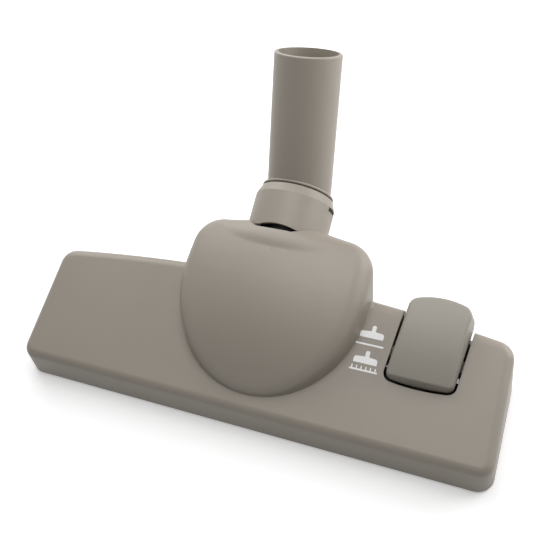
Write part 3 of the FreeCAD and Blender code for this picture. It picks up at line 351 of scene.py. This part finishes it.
def soft_pvc(name, colour):
    """Soft PVC tread: dull, with a fine rough grain from its mould."""
    material, tree, output = new_material(name)
    place = add_node(tree, "ShaderNodeTexCoord").outputs["Object"]
    base = mottled(tree, linear(colour), 4.0, 0.1, place)
    cells = add_node(tree, "ShaderNodeTexNoise", {"Vector": place, "Scale": per_size(0.3), "Detail": 2.0})
    bump = add_node(tree, "ShaderNodeBump", {"Height": cells.outputs["Fac"], "Strength": 0.4,
                                             "Distance": 0.00003})
    shader = add_node(tree, "ShaderNodeBsdfPrincipled", {"Base Color": base, "Roughness": 0.68, "IOR": 1.52,
                                                         "Normal": bump.outputs["Normal"]})
    tree.links.new(shader.outputs["BSDF"], output.inputs["Surface"])
    return material


def pad_ink(name, colour):
    """Pad-printed ink: an even, slightly raised film with a faint thin spot here and there."""
    material, tree, output = new_material(name)
    place = add_node(tree, "ShaderNodeTexCoord").outputs["Object"]
    base = mottled(tree, linear(colour), 1.2, 0.03, place)
    shader = add_node(tree, "ShaderNodeBsdfPrincipled", {"Base Color": base, "Roughness": 0.5, "IOR": 1.5})
    tree.links.new(shader.outputs["BSDF"], output.inputs["Surface"])
    return material


def seen_rays(tree):
    """One for what the camera sees, straight, mirrored or through glass, and nought for other light."""
    path = add_node(tree, "ShaderNodeLightPath").outputs
    straight = add_node(tree, "ShaderNodeMath", {0: path["Is Camera Ray"], 1: path["Is Glossy Ray"]},
                        operation="MAXIMUM")
    return add_node(tree, "ShaderNodeMath", {0: straight.outputs["Value"], 1: path["Is Transmission Ray"]},
                    operation="MAXIMUM").outputs["Value"]


def paper_floor(name, colour, near, far):
    """Studio paper: the camera sees it near white, and it keeps the shadow of what stands on it."""
    material, tree, output = new_material(name)
    diffuse = add_node(tree, "ShaderNodeBsdfDiffuse", {"Color": linear(colour)})
    place = add_node(tree, "ShaderNodeTexCoord").outputs["Object"]
    distance = add_node(tree, "ShaderNodeVectorMath", {0: place}, operation="LENGTH").outputs["Value"]
    rise = add_node(tree, "ShaderNodeMapRange", {"Value": distance, "From Min": near[0], "From Max": far[0],
                                                 "To Min": near[1], "To Max": far[1]})
    seen = add_node(tree, "ShaderNodeMath", {0: seen_rays(tree), 1: rise.outputs["Result"]},
                    operation="MULTIPLY")
    glow = add_node(tree, "ShaderNodeEmission", {"Strength": seen.outputs["Value"]})
    both = add_node(tree, "ShaderNodeAddShader", {0: diffuse.outputs["BSDF"], 1: glow.outputs["Emission"]})
    tree.links.new(both.outputs["Shader"], output.inputs["Surface"])
    return material


# Helpers for pieces

def settings():
    """The sizes and colours of the floor head in this scene."""
    return bpy.context.scene.floor_head


def add_piece(name, mesh, body, material):
    """Puts a finished mesh into the scene as a piece that rides on a body."""
    piece = bpy.data.objects.new(name, mesh)
    bpy.context.scene.collection.objects.link(piece)
    mesh.materials.clear()
    mesh.materials.append(material)
    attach(piece, body)
    return piece


def to_mesh(name, shape, sharp=30.0):
    """The bmesh as a smooth mesh whose edges past an angle stay sharp."""
    mesh = bpy.data.meshes.new(name)
    shape.to_mesh(mesh)
    shape.free()
    mesh.shade_smooth()
    mesh.set_sharp_from_angle(angle=math.radians(sharp))
    return mesh


def merged_copy(node):
    """A CAD node's mesh with its loose triangles joined."""
    shape = bmesh.new()
    shape.from_mesh(frame["nodes"][node].data)
    bmesh.ops.remove_doubles(shape, verts=shape.verts, dist=0.000002)
    return shape


def join_flats(shape):
    """Joins the triangles of each flat face and marks it as strong, so that it shades flat to its rim."""
    bmesh.ops.dissolve_limit(shape, angle_limit=math.radians(0.15), use_dissolve_boundaries=False,
                             verts=shape.verts, edges=shape.edges, delimit=set())
    strength = shape.faces.layers.int.new(FACE_STRENGTH)
    for face in shape.faces:
        face[strength] = STRONG if len(face.verts) > 4 else -STRONG


def dress_node(node, name, material, flats=False):
    """A smooth-shaded copy stands for a CAD node; with flats, its flat faces keep their own shading."""
    shape = merged_copy(node)
    if flats:
        join_flats(shape)
    mesh = to_mesh(name, shape)
    piece = add_piece(name, mesh, body_of(frame["nodes"][node])[0], material)
    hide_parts(node)
    modifier = piece.modifiers.new("even shading", "WEIGHTED_NORMAL")
    modifier.keep_sharp = True
    if flats:
        modifier.mode = "CORNER_ANGLE"
        modifier.use_face_influence = True
    return piece


def paint_node(node, material):
    """A CAD node keeps its shape and gets a finish."""
    mesh = frame["nodes"][node].data
    mesh.materials.clear()
    mesh.materials.append(material)


def material_named(name, build, *details):
    """The material of that name, built the first time it is asked for."""
    return bpy.data.materials.get(name) or build(name, *details)


def top_height(surface, x, y):
    """The height of the casing's outer surface under a point."""
    place = surface.ray_cast(Vector((x, y, 1.0)), Vector((0, 0, -1)))[0]
    if place is None:
        raise RuntimeError("the casing isn't under the sign")
    return place.z


def sign_outline(corners, rounding, steps=5):
    """A closed outline with its corners rounded, as (x, y) points in metres."""
    points = []
    count = len(corners)
    for i, corner in enumerate(corners):
        here = Vector(corner)
        before = (Vector(corners[i - 1]) - here)
        after = (Vector(corners[(i + 1) % count]) - here)
        start = here + before.normalized() * min(rounding[i], before.length / 2)
        end = here + after.normalized() * min(rounding[i], after.length / 2)
        for step in range(steps + 1):
            t = step / steps
            points.append(start * (1 - t) ** 2 + here * 2 * t * (1 - t) + end * t ** 2)
    return points


def add_block(shape, low, high):
    """A block from its low and high corner; returns its points."""
    points = bmesh.ops.create_cube(shape, size=1.0)["verts"]
    for point in points:
        for axis in range(3):
            point.co[axis] = low[axis] if point.co[axis] < 0 else high[axis]
    return points


def thread_ring(shape, centre, radius):
    """Three points round a centre: the section of a thin thread."""
    return [shape.verts.new(centre + Vector((math.cos(a), math.sin(a), 0)) * radius)
            for a in (0.0, math.tau / 3, 2 * math.tau / 3)]


def ink_patch(shape, surface, outline, lift):
    """Adds a flat patch of ink that lies on the casing."""
    shape.faces.new([shape.verts.new((p.x, p.y, top_height(surface, p.x, p.y) + lift)) for p in outline])


# Operators

class FLOORHEAD_OT_casing(bpy.types.Operator):
    """Give the upper housing its smooth moulded surface"""
    bl_idname = "floor_head.casing"
    bl_label = "Casing"

    def execute(self, context):
        moulding = settings().moulding
        abs_grey = material_named("warm grey moulded ABS", moulded_abs, moulding.casing, moulding.grain)
        dress_node("upper_housing", "casing_shell", abs_grey, flats=True)
        return {"FINISHED"}


class FLOORHEAD_OT_signs(bpy.types.Operator):
    """Print the two floor signs beside the pedal"""
    bl_idname = "floor_head.signs"
    bl_label = "Signs"

    def execute(self, context):
        sign = settings().sign
        ink = material_named("white pad ink", pad_ink, sign.ink)
        casing = merged_copy("upper_housing")
        surface = BVHTree.FromBMesh(casing)
        casing.free()
        for name, foot, tufts in (("hard_floor_sign", sign.hard_y, 0),
                                  ("carpet_sign", sign.carpet_y, sign.tufts)):
            shape = bmesh.new()
            for corners, rounding in self.outlines(sign, foot, tufts):
                ink_patch(shape, surface, sign_outline(corners, rounding), sign.lift)
            mesh = to_mesh(name, shape)
            add_piece(name, mesh, body_of(frame["nodes"]["upper_housing"])[0], ink)
        return {"FINISHED"}

    def outlines(self, sign, foot, tufts):
        """The base line, the nozzle over it with its stem, and the tufts of a carpet."""
        small, large, stem_end = 0.0003, 0.0014, sign.stem_width / 2
        tuft_root, tuft_tip = 0.00035, 0.0003
        middle, half = sign.centre_x, sign.width / 2
        top = foot + sign.line
        line = [(middle - half, foot), (middle + half, foot), (middle + half, top), (middle - half, top)]
        shapes = [(line, [0.0002] * 4)]
        low = foot + sign.nozzle_foot
        end = sign.nozzle_width / 2
        left = middle + sign.stem_shift - stem_end
        right = left + sign.stem_width
        nozzle = [(middle - end, low), (middle + end, low), (middle + end, low + sign.shoulder),
                  (right, low + sign.brow), (right, low + sign.stem), (left, low + sign.stem),
                  (left, low + sign.brow), (middle - end, low + sign.shoulder)]
        shapes.append((nozzle, [small, small, large, small, stem_end, stem_end, small, large]))
        for number in range(tufts):
            x = middle + (number - (tufts - 1) / 2) * sign.tuft_pitch
            root, tip = foot + sign.line / 2, foot + sign.tuft_top
            tuft = [(x - tuft_root, root), (x + tuft_root, root), (x + tuft_tip, tip), (x - tuft_tip, tip)]
            shapes.append((tuft, [0.0001] * 4))
        return shapes


class FLOORHEAD_OT_neck(bpy.types.Operator):
    """Finish the tilting neck, its sleeve and the swivel tube"""
    bl_idname = "floor_head.neck"
    bl_label = "Neck and tube"

    def execute(self, context):
        moulding = settings().moulding
        tube_grey = material_named("warm grey tube ABS", moulded_abs, moulding.tube, moulding.grain)
        black = material_named("black moulded polypropylene", moulded_abs, moulding.frame, moulding.grain)
        dress_node("neck_collar", "neck_sleeve", tube_grey)
        dress_node("swivel_tube", "tube_body", tube_grey)
        dress_node("neck_duct", "neck_barrel", black)
        paint_node("tube_clip", black)
        return {"FINISHED"}


class FLOORHEAD_OT_pedal(bpy.types.Operator):
    """Finish the rocking pedal"""
    bl_idname = "floor_head.pedal"
    bl_label = "Pedal"

    def execute(self, context):
        moulding = settings().moulding
        grey = material_named("pedal ABS", moulded_abs, moulding.pedal, moulding.grain)
        dress_node("pedal", "pedal_shell", grey)
        return {"FINISHED"}


class FLOORHEAD_OT_mechanism(bpy.types.Operator):
    """Finish the frame, the duct and the brush lift"""
    bl_idname = "floor_head.mechanism"
    bl_label = "Frame and mechanism"

    def execute(self, context):
        moulding = settings().moulding
        metal = settings().metal
        black = material_named("black moulded polypropylene", moulded_abs, moulding.frame, moulding.grain)
        slick = material_named("natural acetal", acetal, moulding.working)
        zinc = material_named("zinc-plated steel", zinc_plate, metal.zinc)
        dress_node("base_frame", "frame_moulding", black, flats=True)
        dress_node("duct_cover", "duct_hood", black)
        for node in ("lift_shaft", "brush_carrier"):
            paint_node(node, slick)
        for node in ("pedal_axle", "detent_spring", "housing_screws",
                     "wheel_axle_left", "wheel_axle_right"):
            paint_node(node, zinc)
        return {"FINISHED"}


class FLOORHEAD_OT_sole(bpy.types.Operator):
    """Finish the pressed steel sole"""
    bl_idname = "floor_head.sole"
    bl_label = "Sole plate"

    def execute(self, context):
        steel = material_named("bright rolled steel", rolled_steel, settings().metal.plate)
        dress_node("sole_plate", "sole_sheet", steel, flats=True)
        return {"FINISHED"}


class FLOORHEAD_OT_bristles(bpy.types.Operator):
    """Set the nylon tufts in their two backing strips"""
    bl_idname = "floor_head.bristles"
    bl_label = "Bristles"

    def execute(self, context):
        bristle = settings().bristle
        nylon = material_named("black nylon bristle", nylon_fibre, bristle.colour, 0.2)
        for node in ("front_brush", "rear_brush"):
            shape = bmesh.new()
            low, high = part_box(node)
            self.backing(shape, bristle, low, high)
            self.tufts(shape, bristle, low, high)
            piece = add_piece(node + "_bristles", to_mesh(node + "_bristles", shape, 50.0),
                              body_of(frame["nodes"][node])[0], nylon)
            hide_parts(node)
        return {"FINISHED"}

    def backing(self, shape, bristle, low, high):
        """The strip that the tufts are set in."""
        strip = add_block(shape, (low.x, low.y, high.z - bristle.strip), high)
        edges = list({edge for point in strip for edge in point.link_edges})
        bmesh.ops.bevel(shape, geom=edges, offset=0.0003, offset_type="OFFSET", segments=2, profile=0.5,
                        affect="EDGES", material=-1)

    def tufts(self, shape, bristle, low, high):
        """Each tuft is a block of thin bristles that spread a little to their tips."""
        chance = random.Random(7)
        tip_share, foot_share = 0.93, 0.72
        stray, ragged = 0.00008, 0.0004
        count = round((high.x - low.x) / bristle.pitch) - 1
        start = (low.x + high.x) / 2 - (count - 1) * bristle.pitch / 2
        middle = (low.y + high.y) / 2
        root = high.z - bristle.strip
        for number in range(count):
            centre = start + number * bristle.pitch
            for column in range(bristle.columns):
                for row in range(bristle.rows):
                    across = ((column + 0.5) / bristle.columns - 0.5) * bristle.tuft[0]
                    along = ((row + 0.5) / bristle.rows - 0.5) * bristle.tuft[1]
                    tip = Vector((centre + across * tip_share + chance.uniform(-1, 1) * stray,
                                  middle + along * tip_share + chance.uniform(-1, 1) * stray,
                                  low.z + chance.random() * ragged))
                    foot = Vector((centre + across * foot_share, middle + along * foot_share, root))
                    self.strand(shape, foot, tip, bristle.thickness / 2)

    def strand(self, shape, foot, tip, radius):
        """One bristle: a slim three-sided rod with a slight bow."""
        bow = (foot + tip) / 2 + Vector((0, (foot.y - tip.y) * 0.3, 0))
        rings = [thread_ring(shape, centre, size)
                 for centre, size in ((foot, radius), (bow, radius), (tip, radius * 0.75))]
        for lower, upper in zip(rings, rings[1:]):
            for i in range(3):
                j = (i + 1) % 3
                shape.faces.new((lower[j], lower[i], upper[i], upper[j]))
        shape.faces.new(rings[-1])


class FLOORHEAD_OT_pile(bpy.types.Operator):
    """Cover the lint strips with leaning pile"""
    bl_idname = "floor_head.pile"
    bl_label = "Lint pile"

    def execute(self, context):
        pile = settings().pile
        red = material_named("red nylon pile", nylon_fibre, pile.colour, 0.5)
        for end in ("front_left", "front_right", "rear_left", "rear_right"):
            node = "lint_strip_" + end
            low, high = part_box(node)
            shape = bmesh.new()
            self.cloth(shape, pile, low, high)
            self.tips(shape, pile, low, high, 1.0 if end.startswith("front") else -1.0)
            piece = add_piece(node + "_pile", to_mesh(node + "_pile", shape, 50.0),
                              body_of(frame["nodes"][node])[0], red)
            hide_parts(node)
        return {"FINISHED"}

    def cloth(self, shape, pile, low, high):
        """The woven ground that the pile stands on."""
        ground = add_block(shape, (low.x, low.y, high.z - pile.cloth), high)
        upright = [edge for edge in {edge for point in ground for edge in point.link_edges}
                   if abs(edge.verts[0].co.z - edge.verts[1].co.z) > pile.cloth / 2]
        bmesh.ops.bevel(shape, geom=upright, offset=0.0009, offset_type="OFFSET", segments=3, profile=0.5,
                        affect="EDGES", material=-1)

    def tips(self, shape, pile, low, high, side):
        """Short leaning tips in offset rows."""
        chance = random.Random(11)
        sunk, stray, sway, ragged = 0.00002, 0.00006, 0.0001, 0.0001
        reach = (high.z - low.z - pile.cloth - sunk) * math.tan(pile.lean)
        end, edge = pile.border
        columns = int((high.x - low.x - 2 * end) / pile.spacing)
        rows = int((high.y - low.y - 2 * edge - reach) / pile.spacing)
        first = low.y + edge if side > 0 else low.y + edge + reach
        for column in range(columns):
            for row in range(rows):
                x = low.x + end + (column + 0.5 * (row % 2)) * pile.spacing + chance.uniform(-1, 1) * stray
                y = first + (row + 0.5) * pile.spacing + chance.uniform(-1, 1) * stray
                foot = Vector((x, y, high.z - pile.cloth + sunk))
                tip = Vector((x + chance.uniform(-1, 1) * sway, y + side * reach,
                              low.z + chance.random() * ragged))
                self.tip(shape, foot, tip, pile.spacing * 0.3)

    def tip(self, shape, foot, tip, radius):
        """One cut end of pile: a slim three-sided spike."""
        base = thread_ring(shape, foot, radius)
        point = shape.verts.new(tip)
        for i in range(3):
            shape.faces.new((base[(i + 1) % 3], base[i], point))


class FLOORHEAD_OT_wheels(bpy.types.Operator):
    """Turn each wheel with its hub, its recessed sides and its grooved tread"""
    bl_idname = "floor_head.wheels"
    bl_label = "Wheels"

    def execute(self, context):
        wheel = settings().wheel
        tread = material_named("soft PVC tread", soft_pvc, wheel.tread)
        for node in ("wheel_left", "wheel_right"):
            low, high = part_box(node)
            middle = (low + high) / 2
            half = (high.x - low.x) / 2
            radius = (high.z - low.z) / 2
            mesh = to_mesh(node + "_tread", self.turned(wheel, half, radius, middle), 35.0)
            piece = add_piece(node + "_tread", mesh, body_of(frame["nodes"][node])[0], tread)
            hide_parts(node)
        return {"FINISHED"}

    def turned(self, wheel, half, radius, middle):
        """The wheel's section turned about its axle, with shallow grooves round the tread."""
        shoulder, corner, lip, fillet = 0.0012, 0.00035, 0.0002, 0.0004
        groove_place, groove_top, groove_foot = half * 0.45, 0.0004, 0.0003
        hub, rim, dish = wheel.hub, radius - wheel.depth, half - wheel.dish
        side = [(half - shoulder, radius), (half - corner, radius - corner), (half, radius - shoulder),
                (half, rim), (half - lip, rim - lip), (dish, rim - fillet), (dish, hub + fillet),
                (half - lip, hub + lip), (half, hub), (half, wheel.bore)]
        section = [(-x, r) for x, r in reversed(side)]
        for centre in (-groove_place, 0.0, groove_place):
            section += [(centre - groove_top, radius), (centre - groove_foot, radius - wheel.groove),
                        (centre + groove_foot, radius - wheel.groove), (centre + groove_top, radius)]
        section += side
        shape = bmesh.new()
        points = [shape.verts.new((middle.x + x, middle.y, middle.z + r)) for x, r in section]
        edges = [shape.edges.new((a, b)) for a, b in zip(points, points[1:] + points[:1])]
        bmesh.ops.spin(shape, geom=points + edges, cent=middle, axis=(1, 0, 0), angle=math.tau, steps=72,
                       use_merge=True, use_duplicate=False)
        bmesh.ops.recalc_face_normals(shape, faces=shape.faces)
        return shape


class FLOORHEAD_OT_stage(bpy.types.Operator):
    """Set the floor, the lamps and the camera"""
    bl_idname = "floor_head.stage"
    bl_label = "Stage"

    def execute(self, context):
        stage = settings().stage
        scene = bpy.context.scene
        scene.view_settings.view_transform = "Standard"
        shape = bmesh.new()
        bmesh.ops.create_grid(shape, x_segments=1, y_segments=1, size=6.0)
        floor = bpy.data.objects.new("floor", to_mesh("floor", shape))
        scene.collection.objects.link(floor)
        floor.data.materials.append(paper_floor("studio paper", stage.floor, stage.near, stage.far))
        for vertex in floor.data.vertices:
            vertex.co.z = min(0.0, CAD_LOW.z)
        self.light(scene, stage)
        self.camera(scene, stage)
        return {"FINISHED"}

    def light(self, scene, stage):
        """Even light all round, and three softboxes, each with its place, size and watts."""
        world = bpy.data.worlds.new("studio")
        world.use_nodes = True
        tree = world.node_tree
        background = tree.nodes["Background"]
        background.inputs["Color"].default_value = (1.0, 1.0, 1.0, 1.0)
        strength = add_node(tree, "ShaderNodeMapRange", {"Value": seen_rays(tree), "To Min": stage.world,
                                                         "To Max": 1.0})
        tree.links.new(strength.outputs["Result"], background.inputs["Strength"])
        scene.world = world
        lamps = {
            "right softbox": ((0.42, 0.30, 0.24), 0.35, 1.65),
            "left softbox": ((-0.34, 0.38, 0.42), 0.5, 2.15),
            "top softbox": ((0.04, 0.08, 0.60), 0.4, 1.65),
        }
        for name, (place, size, power) in lamps.items():
            lamp = bpy.data.lights.new(name, "AREA")
            lamp.size = size
            lamp.energy = power
            lamp_object = bpy.data.objects.new(name, lamp)
            lamp_object.matrix_world = (Matrix.Translation(Vector(place))
                                        @ Vector(place).to_track_quat("Z", "Y").to_matrix().to_4x4())
            scene.collection.objects.link(lamp_object)

    def camera(self, scene, stage):
        """The camera at the picture's angle."""
        back = Vector(stage.back).normalized()
        right = Vector(stage.right).normalized()
        up = back.cross(right)
        turned = Matrix((right, up, back)).transposed().to_4x4()
        data = bpy.data.cameras.new("camera")
        data.sensor_width = stage.sensor
        data.lens = stage.lens
        data.clip_start = 0.01
        camera = bpy.data.objects.new("camera", data)
        camera.matrix_world = Matrix.Translation(Vector(stage.camera)) @ turned
        scene.collection.objects.link(camera)
        scene.camera = camera


class FLOORHEAD_PT_panel(bpy.types.Panel):
    """Lists the steps that dress the floor head"""
    bl_idname = "FLOORHEAD_PT_panel"
    bl_label = "Floor head"
    bl_space_type = "VIEW_3D"
    bl_region_type = "UI"
    bl_category = "Floor head"

    def draw(self, context):
        for step in STEPS:
            self.layout.operator(step.bl_idname)


SETTINGS = (MouldingSettings, SignSettings, BristleSettings, PileSettings, WheelSettings, MetalSettings,
            StageSettings, FloorHeadSettings)
STEPS = (FLOORHEAD_OT_casing, FLOORHEAD_OT_signs, FLOORHEAD_OT_neck, FLOORHEAD_OT_pedal,
         FLOORHEAD_OT_mechanism, FLOORHEAD_OT_sole, FLOORHEAD_OT_bristles, FLOORHEAD_OT_pile,
         FLOORHEAD_OT_wheels, FLOORHEAD_OT_stage)


def register():
    for item in SETTINGS + STEPS + (FLOORHEAD_PT_panel,):
        bpy.utils.register_class(item)
    bpy.types.Scene.floor_head = PointerProperty(type=FloorHeadSettings)


def unregister():
    del bpy.types.Scene.floor_head
    for item in reversed(SETTINGS + STEPS + (FLOORHEAD_PT_panel,)):
        bpy.utils.unregister_class(item)


def main():
    """Builds the pieces and the stage."""
    register()
    for step in STEPS:
        group, name = step.bl_idname.split(".")
        getattr(getattr(bpy.ops, group), name)()


if __name__ == "__main__":
    main()
